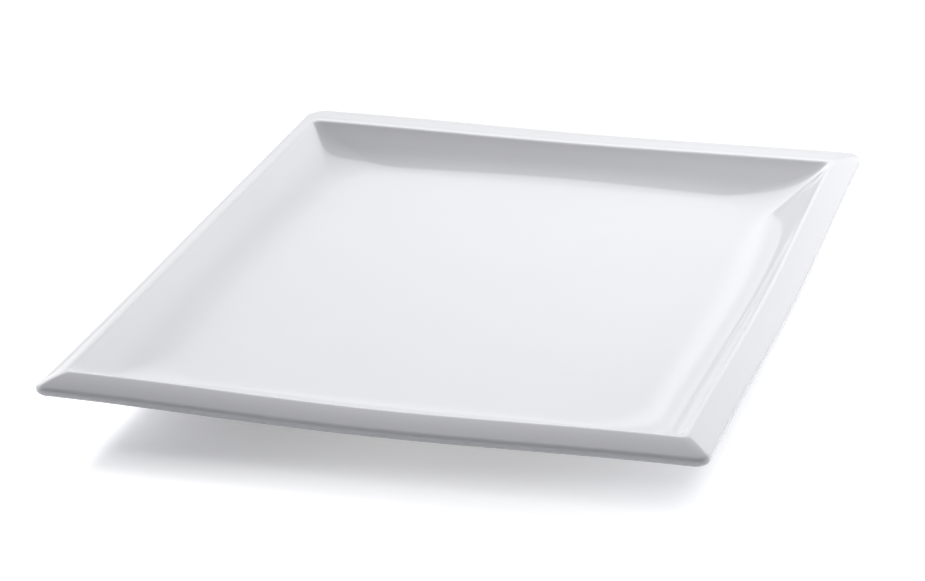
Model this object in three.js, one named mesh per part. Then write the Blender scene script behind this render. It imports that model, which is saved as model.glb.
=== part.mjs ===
// Cheese plate: a porcelain plate with a flat well inside a raised, mitred rim, on a bare foot ring.
// Millimetres, +Z up, X across the front and Y towards the back.
// The origin is the centre of the plane that the foot ring rests on.
import * as THREE from 'three';

const { degToRad, lerp, smoothstep } = THREE.MathUtils;

// Overall size, over the swell of the sides
const PLATE_WIDTH = 265;
const PLATE_DEPTH = 325;

// Heights, from the table up: foot ring, floor of the well, well up to the rim's crest
const FOOT_HEIGHT = 10;
const FLOOR_THICKNESS = 5.8;
const WELL_DEPTH = 12.2;

// Between its corners each side swells outwards and sinks a little
const SIDE_SWELL = 1.3;
const SIDE_SINK = 1.5;

// Rim: a convex bevel falls from the crest to a rounded outer edge, further out along the back
const RIM_WIDTH = 10;
const BACK_RIM_WIDTH = 24;
const RIM_FALL = 5.4;
const EDGE_THICKNESS = 4.6;
const BEVEL_END_SLOPE = degToRad(28);
const UNDERSIDE_SLOPE = degToRad(18);

// Wall of the well: a round shoulder under the crest, a short straight stretch, and a wide cove into the floor
const SHOULDER_RADIUS = 3;
const SHOULDER_SLOPE = degToRad(8);
const WALL_SLOPE = degToRad(46);
const COVE_RADIUS = 36.5;
const CREASE_RADIUS = 5;

// Corner radii in plan
const CREST_CORNER = 1.8;
const EDGE_CORNER = 5;
const BACK_EDGE_CORNER = 11;
const FLOOR_CORNER = 24;

// Foot ring
const FOOT_INSET = 48;
const FOOT_WIDTH = 8;
const FOOT_CORNER = 26;
const FOOT_DRAFT = degToRad(6);
const FOOT_ROUNDING = 1.2;

// Facets along each curved side, round each corner and along the arcs of the section
const SIDE_STEPS = 10;
const CORNER_STEPS = 7;
const WALL_ARC_STEPS = 8;
const EDGE_ARC_STEPS = 8;
const SMALL_ARC_STEPS = 3;

const UP = new THREE.Vector3(0, 0, 1);
const QUARTER_TURN = Math.PI / 2;
const FLOOR_HEIGHT = FOOT_HEIGHT + FLOOR_THICKNESS;
const CREST_HEIGHT = FLOOR_HEIGHT + WELL_DEPTH;
const EDGE_RADIUS = EDGE_THICKNESS / 2;

// The wall's stretches add up to the well's depth; a shallow well takes a smaller cove
const shoulderRun = SHOULDER_RADIUS * (Math.sin(WALL_SLOPE) - Math.sin(SHOULDER_SLOPE));
const shoulderDrop = SHOULDER_RADIUS * (Math.cos(SHOULDER_SLOPE) - Math.cos(WALL_SLOPE));
const coveShare = 1 - Math.cos(WALL_SLOPE);
const coveRadius = Math.min(COVE_RADIUS, (WELL_DEPTH - shoulderDrop) / coveShare);
const coveRun = coveRadius * Math.sin(WALL_SLOPE);
const wallDrop = WELL_DEPTH - shoulderDrop - coveRadius * coveShare;
const floorInset = RIM_WIDTH + shoulderRun + wallDrop / Math.tan(WALL_SLOPE) + coveRun;

// A section point is an inset from the outer edge and a height. An arc's angle is 0 inwards, a quarter turn up.
function pointOnArc(centre, radius, angle) {
  return {
    inset: centre.inset + radius * Math.cos(angle),
    height: centre.height + radius * Math.sin(angle),
  };
}

function arcPoints(centre, radius, from, to, steps) {
  const points = [];
  for (let step = 0; step <= steps; step++) {
    points.push(pointOnArc(centre, radius, lerp(from, to, step / steps)));
  }
  return points;
}

// A straight line of the section that falls inwards at a slope and passes below a circle, touching it
function lineBelow(centre, radius, slope) {
  const [sin, cos] = [Math.sin(slope), Math.cos(slope)];
  return { sin, cos, reach: sin * centre.inset + cos * centre.height - radius };
}

function meetingPoint(a, b) {
  const spread = a.sin * b.cos - b.sin * a.cos;
  return {
    inset: (a.reach * b.cos - b.reach * a.cos) / spread,
    height: (a.sin * b.reach - b.sin * a.reach) / spread,
  };
}

// The outer of the two points where a line cuts a circle
function cuttingPoint(line, centre, radius) {
  const distance = line.sin * centre.inset + line.cos * centre.height - line.reach;
  const halfChord = Math.sqrt(radius ** 2 - distance ** 2);
  return {
    inset: centre.inset - distance * line.sin - halfChord * line.cos,
    height: centre.height - distance * line.cos + halfChord * line.sin,
  };
}

// A station is a section point with its radii in plan at the front and the back corners, its share of the sides'
// swell and sink, and its share of the back rim's extra width.
// Down the wall of the well the corners open out and the sides grow straight and level.
function wallStation(point) {
  const depth = smoothstep(point.inset, RIM_WIDTH, floorInset);
  const corner = lerp(CREST_CORNER, FLOOR_CORNER, depth);
  return { ...point, corner, backCorner: corner, share: 1 - depth, backShare: 1 };
}

// On the rim the corners stay nearly sharp, so the bevels meet in a mitre, and round off only at the edge
function rimStation(point, backShare) {
  const outwards = Math.max(0, (RIM_WIDTH - point.inset) / RIM_WIDTH) ** 3;
  const corner = lerp(CREST_CORNER, EDGE_CORNER, outwards);
  const backCorner = lerp(CREST_CORNER, BACK_EDGE_CORNER, outwards);
  return { ...point, corner, backCorner, share: 1, backShare };
}

// The outside of the wall follows the inside, which lies further in by a reach
function outsideStation(point, reach) {
  const inside = wallStation({ ...point, inset: point.inset + reach });
  const corner = inside.corner + reach;
  return { ...inside, ...point, corner, backCorner: corner };
}

// The body's section, from the floor of the well over the rim to the base
function bodyStations() {
  const coveCentre = { inset: floorInset, height: FLOOR_HEIGHT + coveRadius };
  const shoulderCentre = {
    inset: RIM_WIDTH - SHOULDER_RADIUS * Math.sin(SHOULDER_SLOPE),
    height: CREST_HEIGHT - SHOULDER_RADIUS * Math.cos(SHOULDER_SLOPE),
  };
  const edgeCentre = { inset: EDGE_RADIUS, height: CREST_HEIGHT - RIM_FALL };

  const cove = arcPoints(coveCentre, coveRadius, -QUARTER_TURN, -QUARTER_TURN - WALL_SLOPE, WALL_ARC_STEPS);
  const shoulder = arcPoints(
    shoulderCentre, SHOULDER_RADIUS, QUARTER_TURN - WALL_SLOPE, QUARTER_TURN - SHOULDER_SLOPE, WALL_ARC_STEPS,
  );

  // The bevel is the arc from the crest that runs smoothly into the rounded edge
  const edgeStart = QUARTER_TURN + BEVEL_END_SLOPE;
  const bevelEnd = pointOnArc(edgeCentre, EDGE_RADIUS, edgeStart);
  const bevelRun = RIM_WIDTH - bevelEnd.inset;
  const bevelFall = CREST_HEIGHT - bevelEnd.height;
  const bevelStartSlope = 2 * Math.atan2(bevelFall, bevelRun) - BEVEL_END_SLOPE;
  const halfBend = (BEVEL_END_SLOPE - bevelStartSlope) / 2;
  const bevelRadius = Math.hypot(bevelRun, bevelFall) / (2 * Math.sin(halfBend));
  const bevelCentre = pointOnArc(bevelEnd, -bevelRadius, edgeStart);
  const bevel = arcPoints(bevelCentre, bevelRadius, QUARTER_TURN + bevelStartSlope, edgeStart, WALL_ARC_STEPS);
  const edge = arcPoints(edgeCentre, EDGE_RADIUS, edgeStart, 3 * QUARTER_TURN - UNDERSIDE_SLOPE, EDGE_ARC_STEPS);

  // Under the rim a rounded crease leads into the outside of the wall: straight on to the knuckle's arc in a
  // shallow well, or to the straight stretch above it in a deep one
  const outerRadius = coveCentre.height - FOOT_HEIGHT;
  const underside = lineBelow(edgeCentre, EDGE_RADIUS + CREASE_RADIUS, UNDERSIDE_SLOPE);
  const outerWall = lineBelow(coveCentre, outerRadius + CREASE_RADIUS, WALL_SLOPE);
  const onKnuckle = cuttingPoint(underside, coveCentre, outerRadius + CREASE_RADIUS);
  const knuckleSlope = Math.atan2(coveCentre.inset - onKnuckle.inset, coveCentre.height - onKnuckle.height);
  const creaseSlope = Math.min(knuckleSlope, WALL_SLOPE);
  const creaseCentre = knuckleSlope < WALL_SLOPE ? onKnuckle : meetingPoint(underside, outerWall);
  const crease = arcPoints(
    creaseCentre, CREASE_RADIUS, QUARTER_TURN - UNDERSIDE_SLOPE, QUARTER_TURN - creaseSlope, SMALL_ARC_STEPS,
  );
  const knuckle = arcPoints(coveCentre, outerRadius, -QUARTER_TURN - creaseSlope, -QUARTER_TURN, WALL_ARC_STEPS);
  const outerReach = (step) => (outerRadius - coveRadius) * Math.sin(creaseSlope * (1 - step / WALL_ARC_STEPS));

  return [
    ...cove.map(wallStation),
    ...shoulder.map(wallStation),
    ...bevel.map((point, step) => rimStation(point, 1 - step / WALL_ARC_STEPS)).slice(1),
    ...edge.map((point) => rimStation(point, 0)).slice(1),
    ...crease.map((point) => outsideStation(point, outerReach(0))),
    ...knuckle.map((point, step) => outsideStation(point, outerReach(step))).slice(1),
  ];
}

// The foot ring's section: a flat top against the base, drafted sides and rounded lower edges
function footStations() {
  const middle = FOOT_INSET + FOOT_WIDTH / 2;
  const lean = FOOT_ROUNDING + (FOOT_HEIGHT - FOOT_ROUNDING) * Math.sin(FOOT_DRAFT);
  const roundingCentre = { inset: FOOT_INSET + lean / Math.cos(FOOT_DRAFT), height: FOOT_ROUNDING };
  const outerHalf = [
    { inset: FOOT_INSET, height: FOOT_HEIGHT },
    ...arcPoints(
      roundingCentre, FOOT_ROUNDING, 2 * QUARTER_TURN + FOOT_DRAFT, 3 * QUARTER_TURN, SMALL_ARC_STEPS,
    ),
  ];
  const innerHalf = outerHalf.map(({ inset, height }) => ({ inset: 2 * middle - inset, height })).reverse();
  return [...outerHalf, ...innerHalf].map((point) => {
    const corner = FOOT_CORNER - (point.inset - FOOT_INSET);
    return { ...point, corner, backCorner: corner, share: 0, backShare: 0 };
  });
}

// One closed ring round the plate at a station: four sides joined by round corners, anticlockwise from above
function ringPoints({ inset, height, corner, backCorner, share, backShare }, sideSteps) {
  const setForward = (backShare * (BACK_RIM_WIDTH - RIM_WIDTH)) / 2;
  const halfWidth = PLATE_WIDTH / 2 - SIDE_SWELL - inset;
  const halfDepth = PLATE_DEPTH / 2 - SIDE_SWELL - inset - setForward;
  const radii = [corner, corner, backCorner, backCorner, corner];
  const points = [];
  for (let side = 0; side < 4; side++) {
    const [halfLength, reach] = side % 2 === 0 ? [halfWidth, halfDepth] : [halfDepth, halfWidth];
    const start = radii[side] - halfLength;
    const radius = radii[side + 1];
    const end = halfLength - radius;
    const place = (x, y, z) => {
      const point = new THREE.Vector3(x, y, z).applyAxisAngle(UP, side * QUARTER_TURN);
      point.y -= setForward;
      points.push(point);
    };
    for (let step = 0; step < sideSteps; step++) {
      const along = step / sideSteps;
      const bulge = share * Math.sin(along * Math.PI) ** 2;
      place(lerp(start, end, along), -reach - SIDE_SWELL * bulge, height - SIDE_SINK * bulge);
    }
    for (let step = 0; step < CORNER_STEPS; step++) {
      const angle = (step / CORNER_STEPS - 1) * QUARTER_TURN;
      place(end + radius * Math.cos(angle), radius - reach + radius * Math.sin(angle), height);
    }
  }
  return points;
}

// A solid skinned over the rings of its stations. A loop of stations closes on itself; otherwise flat ends close it.
function skin(stations, { sideSteps, isLoop }) {
  const rings = stations.map((station) => ringPoints(station, sideSteps));
  const count = rings[0].length;
  const vertices = rings.flat();
  const faces = [];
  const bands = isLoop ? rings.length : rings.length - 1;
  for (let band = 0; band < bands; band++) {
    const from = band * count;
    const to = ((band + 1) % rings.length) * count;
    for (let i = 0; i < count; i++) {
      const next = (i + 1) % count;
      faces.push(from + i, to + i, to + next);
      faces.push(from + i, to + next, from + next);
    }
  }
  if (!isLoop) {
    const last = (rings.length - 1) * count;
    const top = vertices.push(new THREE.Vector3(0, 0, stations[0].height)) - 1;
    const bottom = vertices.push(new THREE.Vector3(0, 0, stations.at(-1).height)) - 1;
    for (let i = 0; i < count; i++) {
      const next = (i + 1) % count;
      faces.push(top, i, next);
      faces.push(bottom, last + next, last + i);
    }
  }
  const geometry = new THREE.BufferGeometry().setFromPoints(vertices);
  geometry.setIndex(faces);
  geometry.computeVertexNormals();
  return geometry;
}

const glaze = new THREE.MeshStandardMaterial({ color: 0xf3f4f4, roughness: 0.08, metalness: 0 });
const plateBody = new THREE.Mesh(skin(bodyStations(), { sideSteps: SIDE_STEPS, isLoop: false }), glaze);
plateBody.name = 'plate_body';

const biscuit = new THREE.MeshStandardMaterial({ color: 0xe9e4da, roughness: 0.75, metalness: 0 });
const footRing = new THREE.Mesh(skin(footStations(), { sideSteps: 1, isLoop: true }), biscuit);
footRing.name = 'foot_ring';

const plate = new THREE.Group();
plate.name = 'cheese_plate';
plate.add(plateBody, footRing);

export default plate;
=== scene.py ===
"""Cheese plate: the glazed porcelain body and its bare foot ring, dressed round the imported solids.

Metres, +Z up, X across the short front edge and Y along the long sides to the back.
"""
import math

import bpy
import numpy as np
from mathutils import Matrix, Vector


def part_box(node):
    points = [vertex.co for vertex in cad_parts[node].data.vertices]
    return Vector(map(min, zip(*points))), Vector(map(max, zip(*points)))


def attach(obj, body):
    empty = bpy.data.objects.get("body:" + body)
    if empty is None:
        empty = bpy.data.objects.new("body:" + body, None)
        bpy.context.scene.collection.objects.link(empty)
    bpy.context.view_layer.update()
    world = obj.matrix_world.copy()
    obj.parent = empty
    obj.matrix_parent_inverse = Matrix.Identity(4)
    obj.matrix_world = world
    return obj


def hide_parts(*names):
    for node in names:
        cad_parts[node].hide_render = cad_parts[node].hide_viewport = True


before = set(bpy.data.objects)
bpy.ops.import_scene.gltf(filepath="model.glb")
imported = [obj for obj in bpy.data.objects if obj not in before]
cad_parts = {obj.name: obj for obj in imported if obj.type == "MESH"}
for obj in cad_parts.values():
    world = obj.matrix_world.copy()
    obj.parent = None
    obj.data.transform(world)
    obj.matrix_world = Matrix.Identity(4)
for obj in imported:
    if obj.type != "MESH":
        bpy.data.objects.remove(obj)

MM = 0.001
QUARTER_TURN = math.pi / 2
DEGREES_PER_RADIAN = math.degrees(1)
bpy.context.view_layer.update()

# The body's section, as the solids have it
SIDE_SWELL = 1.3 * MM
SIDE_SINK = 1.5 * MM
RIM_WIDTH = 10 * MM
BACK_RIM_WIDTH = 24 * MM
RIM_FALL = 5.4 * MM
EDGE_RADIUS = 2.3 * MM
BEVEL_END_SLOPE = math.radians(28)
UNDERSIDE_SLOPE = math.radians(18)
SHOULDER_RADIUS = 3 * MM
SHOULDER_SLOPE = math.radians(8)
WALL_SLOPE = math.radians(46)
WELL_DEPTH = 12.2 * MM
COVE_RADIUS = 36.5 * MM
CREASE_RADIUS = 5 * MM
EDGE_CORNER = 5 * MM
BACK_EDGE_CORNER = 11 * MM
FLOOR_CORNER = 24 * MM

# The rim's corners stay tight by the crest and open late, towards the edge: the power of their rise
EDGE_CORNER_RISE = 3

# Softening that the glaze gives the crest and its corners
CREST_EASING = 1.2 * MM
CREST_CORNER = 3.2 * MM

# The flat border that keeps the floor and the base level at their rims
FLAT_BORDER = 3 * MM

# The foot ring's section
FOOT_WIDTH = 8 * MM
FOOT_CORNER = 26 * MM
FOOT_DRAFT = math.radians(6)
FOOT_ROUNDING = 1.2 * MM

# Facets
SIDE_STEPS = 48
CORNER_STEPS = 14
LONG_ARC_STEPS = 20
SHORT_ARC_STEPS = 8

BLACK = (0, 0, 0, 1)
WHITE = (1, 1, 1, 1)

# Clear glaze. A noise is its scale per metre and its detail.
GLAZE_POOLED = (0.785, 0.79, 0.825, 1)
GLAZE_THIN = (0.815, 0.82, 0.855, 1)
GLAZE_SMOOTHEST = 0.04
GLAZE_ROUGHEST = 0.08
GLAZE_IOR = 1.5
GLAZE_CLOUD = (22.0, 3.0)
GLAZE_WAVE = (38.0, 1.0)
GLAZE_PEEL = (700.0, 2.0)
PEEL_SHARE = 0.02
WAVE_STRENGTH = 0.005
WAVE_DEPTH = 2 * MM

# Bare porcelain
BISCUIT_STAINED = (0.66, 0.62, 0.55, 1)
BISCUIT_CLEAN = (0.76, 0.73, 0.67, 1)
BISCUIT_SMOOTHEST = 0.65
BISCUIT_ROUGHEST = 0.85
BISCUIT_GRAIN = (900.0, 4.0)
BISCUIT_STAIN = (45.0, 3.0)
GRAIN_STRENGTH = 0.3
GRAIN_DEPTH = 0.4 * MM

# White table
TABLE_SIZE = 8.0
TABLE_COLOUR = (0.88, 0.885, 0.92, 1)
TABLE_ROUGHNESS = 0.03
TABLE_IOR = 1.45

# The table is lifted towards white, less under the plate, where its shadow lies: there the lower lift is a
# painted shadow laid over the one the lights cast. In the shadow the lift rises from its left-hand border
# to a place right of the middle, so the painted shadow is darker on the left.
SHADE_MIDDLE = 8 * MM
SHADE_HALF_WIDTH = 106 * MM
SHADE_HALF_DEPTH = 141 * MM
SHADE_SIDE_FADE = 14 * MM
SHADE_FRONT_FADE = 38 * MM
SHADE_SKEW = 0.13
PAINTED_SHADOW_LIFT_LEFT = 0.26
PAINTED_SHADOW_LIFT_RIGHT = 0.43
LIFT_RISE_END = 20 * MM
LIFT_OUTSIDE = 0.7

# Studio light: panels in the surround, in degrees. Azimuth turns from the back towards the right.
CRISP = 1.5
SOFT = 4
PANEL_SIDE_SOFTNESS = 10
PANELS = (
    # middle azimuth, half width, lower border and its softness, upper border and its softness, brightness
    (-15, 20, 3, CRISP, 14, SOFT, 0.95),
    (-15, 20, 14, SOFT, 40, CRISP, 1.75),
    (25, 20, 3, CRISP, 40, CRISP, 2.5),
    (-55, 20, 3, CRISP, 15, SOFT, 2.65),
    (-55, 20, 15, SOFT, 40, CRISP, 3.8),
    (-97, 22, 3, CRISP, 40, SOFT, 2.1),
    (67, 22, 3, CRISP, 20, SOFT, 2.8),
    (15, 90, 40, CRISP, 60, 2 * SOFT, 0.3),
    (180, 90, 60, 2 * SOFT, 99, SOFT, 0.6),
    (0, 190, 72, 2 * SOFT, 99, SOFT, 0.45),
    (170, 50, 3, CRISP, 20, SOFT, 0.15),
    (0, 190, -12, CRISP, 3, CRISP, 0.8),
)

# Lamp hanging over the back right corner, near enough for its light to fall off across the plate
LAMP_PLACE = (160 * MM, 180 * MM, 500 * MM)
LAMP_SIZE = 300 * MM
LAMP_WATTS = 0.8

# The photograph's frame and the camera that fits it; the sensor's width is in millimetres
IMAGE_WIDTH = 925
FOCAL_LENGTH_PIXELS = 3164
SENSOR_WIDTH = 36.0
CAMERA_AZIMUTH = math.radians(17.187)
CAMERA_ELEVATION = math.radians(22.924)
CAMERA_DISTANCE = 1281.9 * MM
CAMERA_ROLL = math.radians(-1.406)
CAMERA_AIM = Vector((0.2, -28.7, 22.6)) * MM

# What the solids' boxes give
body_low, body_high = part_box("plate_body")
foot_low, foot_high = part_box("foot_ring")
HALF_WIDTH = (body_high.x - body_low.x) / 2 - SIDE_SWELL
HALF_DEPTH = (body_high.y - body_low.y) / 2 - SIDE_SWELL
BASE_HEIGHT = body_low.z
CREST_HEIGHT = body_high.z
FLOOR_HEIGHT = CREST_HEIGHT - WELL_DEPTH
FOOT_HEIGHT = foot_high.z - foot_low.z
FOOT_INSET = HALF_WIDTH - (foot_high.x - foot_low.x) / 2


class Wire:
    """An output socket of a node tree; arithmetic on it adds Math nodes."""

    def __init__(self, tree, socket):
        self.tree = tree
        self.socket = socket

    def __add__(self, other):
        return self.tree.maths("ADD", self, other)

    def __sub__(self, other):
        return self.tree.maths("SUBTRACT", self, other)

    def __rsub__(self, other):
        return self.tree.maths("SUBTRACT", other, self)

    def __mul__(self, other):
        return self.tree.maths("MULTIPLY", self, other)

    def __abs__(self):
        return self.tree.maths("ABSOLUTE", self)

    __radd__ = __add__
    __rmul__ = __mul__


class Tree:
    """The node tree of a material or of the world, emptied and ready to be filled."""

    def __init__(self, owner):
        owner.use_nodes = True
        self.nodes = owner.node_tree.nodes
        self.links = owner.node_tree.links
        self.nodes.clear()

    def node(self, kind, settings=None, sockets=None, output=0):
        """Adds a node, sets its settings and then its sockets, and returns one of its outputs."""
        made = self.nodes.new(kind)
        for name, value in (settings or {}).items():
            setattr(made, name, value)
        for name, value in (sockets or {}).items():
            if isinstance(value, Wire):
                self.links.new(value.socket, made.inputs[name])
            else:
                made.inputs[name].default_value = value
        return Wire(self, made.outputs[output]) if made.outputs else None

    def maths(self, operation, *values):
        """A Math node on values or links."""
        return self.node("ShaderNodeMath", {"operation": operation}, dict(enumerate(values)))


def arc(centre, radius, start, end, steps):
    """Points of a section arc; its angle is 0 inwards and a quarter turn up."""
    angles = np.linspace(start, end, steps + 1)
    return np.stack([centre[0] + radius * np.cos(angles), centre[1] + radius * np.sin(angles)], axis=1)


def smooth(values, low, high):
    """0 below low and 1 above high, with a smooth rise between them."""
    share = np.clip((values - low) / (high - low), 0, 1)
    return share * share * (3 - 2 * share)


def cutting_point(below, slope, centre, radius):
    """The outer point where a circle is cut by a line through a point that falls inwards at a slope."""
    inwards = np.array([math.cos(slope), -math.sin(slope)])
    nearest = below + inwards * ((centre - below) @ inwards)
    return nearest - inwards * math.sqrt(radius ** 2 - np.sum((centre - nearest) ** 2))


def eased(before, after, reach):
    """Two runs of section points that share a point, and between them a small curve in its place."""
    ridge = before[-1]
    before = before[np.linalg.norm(before - ridge, axis=1) > reach]
    after = after[np.linalg.norm(after - ridge, axis=1) > reach]
    start = ridge + reach * (before[-1] - ridge) / np.linalg.norm(before[-1] - ridge)
    end = ridge + reach * (after[0] - ridge) / np.linalg.norm(after[0] - ridge)
    t = np.linspace(0, 1, SHORT_ARC_STEPS + 1)[:, None]
    curve = (1 - t) ** 2 * start + 2 * t * (1 - t) * ridge + t ** 2 * end
    return before, curve, after


def body_stations():
    """The body's stations, from the well's floor over the rim to the base.

    A station is an inset and a height, the radii in plan of the front and the back corners, the share of
    the sides' swell and sink, and the share of the back rim's extra width.
    """
    shoulder_run = SHOULDER_RADIUS * (math.sin(WALL_SLOPE) - math.sin(SHOULDER_SLOPE))
    shoulder_drop = SHOULDER_RADIUS * (math.cos(SHOULDER_SLOPE) - math.cos(WALL_SLOPE))
    cove_run = COVE_RADIUS * math.sin(WALL_SLOPE)
    cove_drop = COVE_RADIUS * (1 - math.cos(WALL_SLOPE))
    wall_run = (WELL_DEPTH - shoulder_drop - cove_drop) / math.tan(WALL_SLOPE)
    floor_inset = RIM_WIDTH + shoulder_run + wall_run + cove_run

    cove_centre = np.array([floor_inset, FLOOR_HEIGHT + COVE_RADIUS])
    cove = arc(cove_centre, COVE_RADIUS, -QUARTER_TURN, -QUARTER_TURN - WALL_SLOPE, LONG_ARC_STEPS)
    shoulder_centre = (
        RIM_WIDTH - SHOULDER_RADIUS * math.sin(SHOULDER_SLOPE),
        CREST_HEIGHT - SHOULDER_RADIUS * math.cos(SHOULDER_SLOPE),
    )
    shoulder = arc(shoulder_centre, SHOULDER_RADIUS, QUARTER_TURN - WALL_SLOPE,
                   QUARTER_TURN - SHOULDER_SLOPE, LONG_ARC_STEPS)

    # The bevel is the arc from the crest that runs smoothly into the rounded edge
    edge_centre = np.array([EDGE_RADIUS, CREST_HEIGHT - RIM_FALL])
    edge_start = QUARTER_TURN + BEVEL_END_SLOPE
    edge_end = 3 * QUARTER_TURN - UNDERSIDE_SLOPE
    edge = arc(edge_centre, EDGE_RADIUS, edge_start, edge_end, LONG_ARC_STEPS)
    bevel_run = RIM_WIDTH - edge[0][0]
    bevel_fall = CREST_HEIGHT - edge[0][1]
    bevel_start_slope = 2 * math.atan2(bevel_fall, bevel_run) - BEVEL_END_SLOPE
    half_bend = (BEVEL_END_SLOPE - bevel_start_slope) / 2
    bevel_radius = math.hypot(bevel_run, bevel_fall) / (2 * math.sin(half_bend))
    bevel_centre = arc(edge[0], -bevel_radius, edge_start, edge_start, 1)[0]
    bevel = arc(bevel_centre, bevel_radius, QUARTER_TURN + bevel_start_slope, edge_start, LONG_ARC_STEPS)

    # A rounded crease under the rim rolls on to the knuckle round the base
    knuckle_radius = cove_centre[1] - BASE_HEIGHT
    under_edge = arc(edge_centre, EDGE_RADIUS + CREASE_RADIUS, edge_end, edge_end, 1)[0]
    crease_centre = cutting_point(under_edge, UNDERSIDE_SLOPE, cove_centre, knuckle_radius + CREASE_RADIUS)
    crease_slope = math.atan2(*(cove_centre - crease_centre))
    crease = arc(crease_centre, CREASE_RADIUS, QUARTER_TURN - UNDERSIDE_SLOPE, QUARTER_TURN - crease_slope,
                 SHORT_ARC_STEPS)
    knuckle = arc(cove_centre, knuckle_radius, -QUARTER_TURN - crease_slope, -QUARTER_TURN, LONG_ARC_STEPS)

    shoulder, crest, bevel = eased(shoulder, bevel, CREST_EASING)
    inside = np.concatenate([[(floor_inset + FLAT_BORDER, FLOOR_HEIGHT)], cove, shoulder])
    rim = np.concatenate([crest, bevel, edge[1:]])
    outside = np.concatenate([crease, knuckle[1:], [(floor_inset + FLAT_BORDER, BASE_HEIGHT)]])
    outside_slope = np.concatenate([
        np.full(len(crease), crease_slope),
        np.linspace(crease_slope, 0, LONG_ARC_STEPS + 1)[1:],
        [0],
    ])
    reach = (knuckle_radius - COVE_RADIUS) * np.sin(outside_slope)

    # Down the wall the corners open out and the sides grow straight and level; on the rim they meet in
    # mitres, and the back's extra width runs out across the bevel
    inside_depth = smooth(inside[:, 0], RIM_WIDTH, floor_inset)
    outside_depth = smooth(outside[:, 0] + reach, RIM_WIDTH, floor_inset)
    outwards = np.clip((RIM_WIDTH - rim[:, 0]) / RIM_WIDTH, 0, 1) ** EDGE_CORNER_RISE
    on_bevel = np.clip((rim[:, 0] - edge[0][0]) / bevel_run, 0, 1)
    on_bevel[-LONG_ARC_STEPS:] = 0
    inside_corner = CREST_CORNER + (FLOOR_CORNER - CREST_CORNER) * inside_depth
    outside_corner = CREST_CORNER + (FLOOR_CORNER - CREST_CORNER) * outside_depth + reach
    front_corner = CREST_CORNER + (EDGE_CORNER - CREST_CORNER) * outwards
    back_corner = CREST_CORNER + (BACK_EDGE_CORNER - CREST_CORNER) * outwards
    runs = (
        (inside, inside_corner, inside_corner, 1 - inside_depth, np.ones(len(inside))),
        (rim, front_corner, back_corner, np.ones(len(rim)), on_bevel),
        (outside, outside_corner, outside_corner, 1 - outside_depth, np.ones(len(outside))),
    )
    return np.concatenate([np.column_stack(run) for run in runs])


def foot_stations():
    """The same for the foot ring: a flat top, drafted sides and rounded lower edges."""
    lean = FOOT_ROUNDING + (FOOT_HEIGHT - FOOT_ROUNDING) * math.sin(FOOT_DRAFT)
    centre = (FOOT_INSET + lean / math.cos(FOOT_DRAFT), FOOT_ROUNDING)
    rounding = arc(centre, FOOT_ROUNDING, 2 * QUARTER_TURN + FOOT_DRAFT, 3 * QUARTER_TURN, SHORT_ARC_STEPS)
    outer_half = np.concatenate([[(FOOT_INSET, FOOT_HEIGHT)], rounding])
    inner_half = outer_half[::-1] * (-1, 1) + (2 * FOOT_INSET + FOOT_WIDTH, 0)
    points = np.concatenate([outer_half, inner_half])
    corner = FOOT_CORNER - (points[:, 0] - FOOT_INSET)
    return np.column_stack([points, corner, corner, np.zeros((len(points), 2))])


def ring(station):
    """One closed ring round the plate: four sides joined by round corners, anticlockwise from above."""
    inset, height, front_corner, back_corner, share, back_share = station
    set_forward = back_share * (BACK_RIM_WIDTH - RIM_WIDTH) / 2
    half_width = HALF_WIDTH - inset
    half_depth = HALF_DEPTH - inset - set_forward
    along = np.linspace(0, 1, SIDE_STEPS, endpoint=False)
    bulge = share * np.sin(along * math.pi) ** 2
    turn = np.linspace(-QUARTER_TURN, 0, CORNER_STEPS, endpoint=False)
    radii = (front_corner, front_corner, back_corner, back_corner, front_corner)
    points = []
    for side in range(4):
        half_length, reach = (half_width, half_depth) if side % 2 == 0 else (half_depth, half_width)
        start = radii[side] - half_length
        radius = radii[side + 1]
        end = half_length - radius
        x = np.concatenate([start + (end - start) * along, end + radius * np.cos(turn)])
        y = np.concatenate([-reach - SIDE_SWELL * bulge, radius - reach + radius * np.sin(turn)])
        z = np.concatenate([height - SIDE_SINK * bulge, np.full(CORNER_STEPS, height)])
        cos, sin = round(math.cos(side * QUARTER_TURN)), round(math.sin(side * QUARTER_TURN))
        points.append(np.stack([x * cos - y * sin, x * sin + y * cos - set_forward, z], axis=1))
    return np.concatenate(points)


def linked(name, data):
    """A new object in the scene."""
    made = bpy.data.objects.new(name, data)
    bpy.context.collection.objects.link(made)
    return made


def skin(name, stations, is_loop):
    """A smooth mesh over the rings of its stations; where they don't loop, flat ends close it."""
    rings = [ring(station) for station in stations]
    count = len(rings[0])
    bands = len(rings) if is_loop else len(rings) - 1
    index = np.arange(count)
    following = (index + 1) % count
    faces = []
    for band in range(bands):
        lower = band * count
        upper = (band + 1) % len(rings) * count
        corners = [lower + index, upper + index, upper + following, lower + following]
        faces += np.stack(corners, axis=1).tolist()
    if not is_loop:
        faces.append(index.tolist())
        faces.append((bands * count + index[::-1]).tolist())
    mesh = bpy.data.meshes.new(name)
    mesh.from_pydata(np.concatenate(rings).tolist(), [], faces)
    mesh.polygons.foreach_set("use_smooth", [True] * len(faces))
    mesh.update()
    return linked(name, mesh)


def part(tree, vector, axis):
    """The part of a vector along an axis."""
    return tree.node("ShaderNodeVectorMath", {"operation": "DOT_PRODUCT"}, {0: vector, 1: axis},
                     output="Value")


def step(tree, value, low, high):
    """The same as smooth, in nodes; turned round where high is the smaller."""
    return tree.node("ShaderNodeMapRange", {"interpolation_type": "SMOOTHSTEP"},
                     {"Value": value, "From Min": low, "From Max": high})


def noise(tree, place, scale_and_detail):
    """Noise between 0 and 1."""
    scale, detail = scale_and_detail
    return tree.node("ShaderNodeTexNoise", sockets={"Vector": place, "Scale": scale, "Detail": detail})


def between(share, start, end):
    """The value at a share of the way from start to end."""
    return share * (end - start) + start


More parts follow.
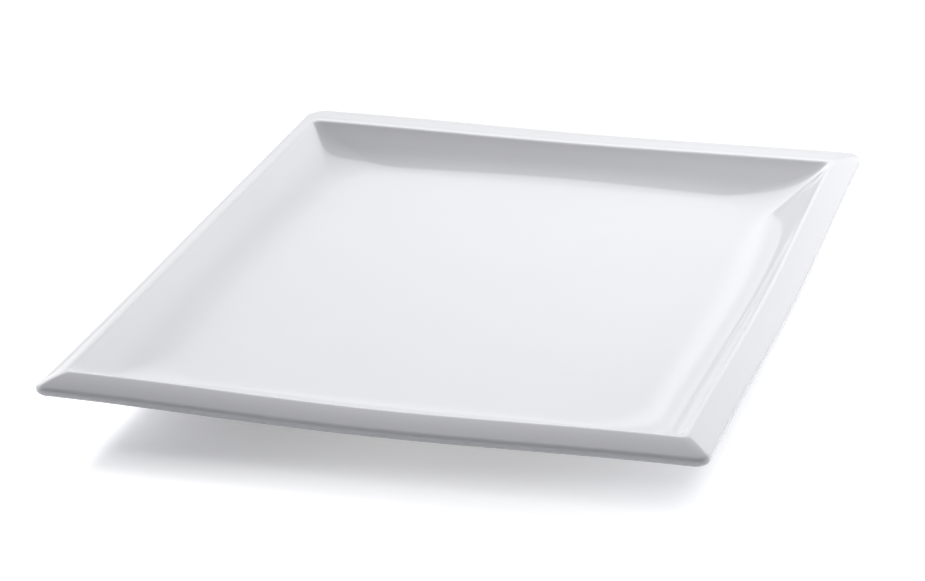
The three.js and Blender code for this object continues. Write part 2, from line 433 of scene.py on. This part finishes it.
def blend(tree, share, first, second):
    """The colour at a share of the way from the first to the second."""
    return tree.node("ShaderNodeMix", {"data_type": "RGBA"}, {"Factor": share, "A": first, "B": second},
                     output="Result")


def seen_directly(tree):
    """1 for what is seen straight, mirrored or through glass, 0 for light that falls on surfaces."""
    rays = ("Is Camera Ray", "Is Glossy Ray", "Is Transmission Ray")
    return sum(tree.node("ShaderNodeLightPath", output=ray) for ray in rays)


def close_with_surface(tree, sockets):
    """Ends a material's tree in one surface."""
    surface = tree.node("ShaderNodeBsdfPrincipled", sockets=sockets)
    tree.node("ShaderNodeOutputMaterial", sockets={"Surface": surface})


def clear_glaze():
    """Cool white porcelain under a clear gloss glaze in slow waves, a little darker where it pools."""
    material = bpy.data.materials.new("clear_glaze")
    tree = Tree(material)
    place = tree.node("ShaderNodeTexCoord", output="Object")
    cloud = noise(tree, place, GLAZE_CLOUD)
    height = noise(tree, place, GLAZE_WAVE) + noise(tree, place, GLAZE_PEEL) * PEEL_SHARE
    relief = tree.node("ShaderNodeBump", sockets={
        "Strength": WAVE_STRENGTH, "Distance": WAVE_DEPTH, "Height": height})
    close_with_surface(tree, {
        "Base Color": blend(tree, cloud, GLAZE_POOLED, GLAZE_THIN),
        "Roughness": between(cloud, GLAZE_SMOOTHEST, GLAZE_ROUGHEST),
        "IOR": GLAZE_IOR,
        "Normal": relief,
    })
    return material


def bare_biscuit():
    """Unglazed porcelain, ground flat: matt, warm white and finely grained."""
    material = bpy.data.materials.new("bare_biscuit")
    tree = Tree(material)
    place = tree.node("ShaderNodeTexCoord", output="Object")
    grain = noise(tree, place, BISCUIT_GRAIN)
    stain = noise(tree, place, BISCUIT_STAIN)
    relief = tree.node("ShaderNodeBump", sockets={
        "Strength": GRAIN_STRENGTH, "Distance": GRAIN_DEPTH, "Height": grain})
    close_with_surface(tree, {
        "Base Color": blend(tree, stain, BISCUIT_STAINED, BISCUIT_CLEAN),
        "Roughness": between(grain, BISCUIT_SMOOTHEST, BISCUIT_ROUGHEST),
        "Normal": relief,
    })
    return material


def white_table():
    """Pale gloss table, lifted to white around the plate and less under it, where its glow paints shadow.
    """
    material = bpy.data.materials.new("white_table")
    tree = Tree(material)
    place = tree.node("ShaderNodeTexCoord", output="Object")
    across = part(tree, place, (1, 0, 0))
    along = part(tree, place, (-SHADE_SKEW, 1, 0))
    # Painted shadow: a skewed box under the plate, with soft borders, where the glow is lower
    aside = abs(across - SHADE_MIDDLE)
    shade = step(tree, aside, SHADE_HALF_WIDTH + SHADE_SIDE_FADE, SHADE_HALF_WIDTH)
    shade = shade * step(tree, abs(along), SHADE_HALF_DEPTH + SHADE_FRONT_FADE, SHADE_HALF_DEPTH)
    # Inside that box the painted shadow is darkest at its left-hand border and lightens towards the right
    rise = step(tree, across, -SHADE_HALF_WIDTH, LIFT_RISE_END)
    lift = between(shade, LIFT_OUTSIDE, between(rise, PAINTED_SHADOW_LIFT_LEFT, PAINTED_SHADOW_LIFT_RIGHT))
    close_with_surface(tree, {
        "Base Color": TABLE_COLOUR,
        "Roughness": TABLE_ROUGHNESS,
        "IOR": TABLE_IOR,
        "Emission Color": blend(tree, lift * seen_directly(tree), BLACK, WHITE),
        "Emission Strength": 1.0,
    })
    return material


def flat_table():
    """A level square under the plate."""
    half = TABLE_SIZE / 2
    mesh = bpy.data.meshes.new("table")
    corners = [(-half, -half, 0), (half, -half, 0), (half, half, 0), (-half, half, 0)]
    mesh.from_pydata(corners, [], [(0, 1, 2, 3)])
    mesh.materials.append(white_table())
    return linked("table", mesh)


def panel(tree, direction, elevation, box):
    """1 inside a box of azimuths and elevations, 0 outside it, with soft borders."""
    azimuth, half_width, bottom, bottom_softness, top, top_softness = box
    sin, cos = math.sin(math.radians(azimuth)), math.cos(math.radians(azimuth))
    sideways = part(tree, direction, (cos, -sin, 0))
    ahead = part(tree, direction, (sin, cos, 0))
    turn = abs(tree.maths("ARCTAN2", sideways, ahead)) * DEGREES_PER_RADIAN
    within = step(tree, turn, half_width + PANEL_SIDE_SOFTNESS, half_width - PANEL_SIDE_SOFTNESS)
    above = step(tree, elevation, bottom - bottom_softness, bottom + bottom_softness)
    below = step(tree, elevation, top + top_softness, top - top_softness)
    return within * above * below


def studio_world():
    """The surround: panels of light, of which the glaze mirrors the crisp upper border behind the plate."""
    world = bpy.data.worlds.new("studio")
    bpy.context.scene.world = world
    tree = Tree(world)
    direction = tree.node("ShaderNodeTexCoord", output="Generated")
    elevation = tree.maths("ARCSINE", part(tree, direction, (0, 0, 1))) * DEGREES_PER_RADIAN
    strength = sum(panel(tree, direction, elevation, box) * brightness for *box, brightness in PANELS)
    light = tree.node("ShaderNodeBackground", sockets={"Color": WHITE, "Strength": strength})
    tree.node("ShaderNodeOutputWorld", sockets={"Surface": light})


def hanging_lamp():
    """A disc lamp that lights the plate and isn't mirrored in its glaze."""
    data = bpy.data.lights.new("hanging_lamp", "AREA")
    data.shape = "DISK"
    data.size = LAMP_SIZE
    data.energy = LAMP_WATTS
    lamp = linked("hanging_lamp", data)
    lamp.location = LAMP_PLACE
    lamp.visible_glossy = False


def fitted_camera():
    """The camera, looking at its aim from the photograph's side."""
    data = bpy.data.cameras.new("camera")
    data.sensor_width = SENSOR_WIDTH
    data.lens = FOCAL_LENGTH_PIXELS / IMAGE_WIDTH * SENSOR_WIDTH
    camera = linked("camera", data)
    backwards = Vector((
        math.sin(CAMERA_AZIMUTH) * math.cos(CAMERA_ELEVATION),
        -math.cos(CAMERA_AZIMUTH) * math.cos(CAMERA_ELEVATION),
        math.sin(CAMERA_ELEVATION),
    ))
    place = Matrix.Translation(CAMERA_AIM + backwards * CAMERA_DISTANCE)
    upright = backwards.to_track_quat("Z", "Y").to_matrix().to_4x4()
    camera.matrix_world = place @ upright @ Matrix.Rotation(CAMERA_ROLL, 4, "Z")
    bpy.context.scene.camera = camera


plate = skin("glazed_plate", body_stations(), is_loop=False)
plate.data.materials.append(clear_glaze())
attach(plate, "root")
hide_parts("plate_body")

foot = skin("bare_foot", foot_stations(), is_loop=True)
foot.data.materials.append(bare_biscuit())
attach(foot, "root")
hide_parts("foot_ring")

table = flat_table()

studio_world()
hanging_lamp()
fitted_camera()
bpy.context.scene.view_settings.view_transform = "Standard"
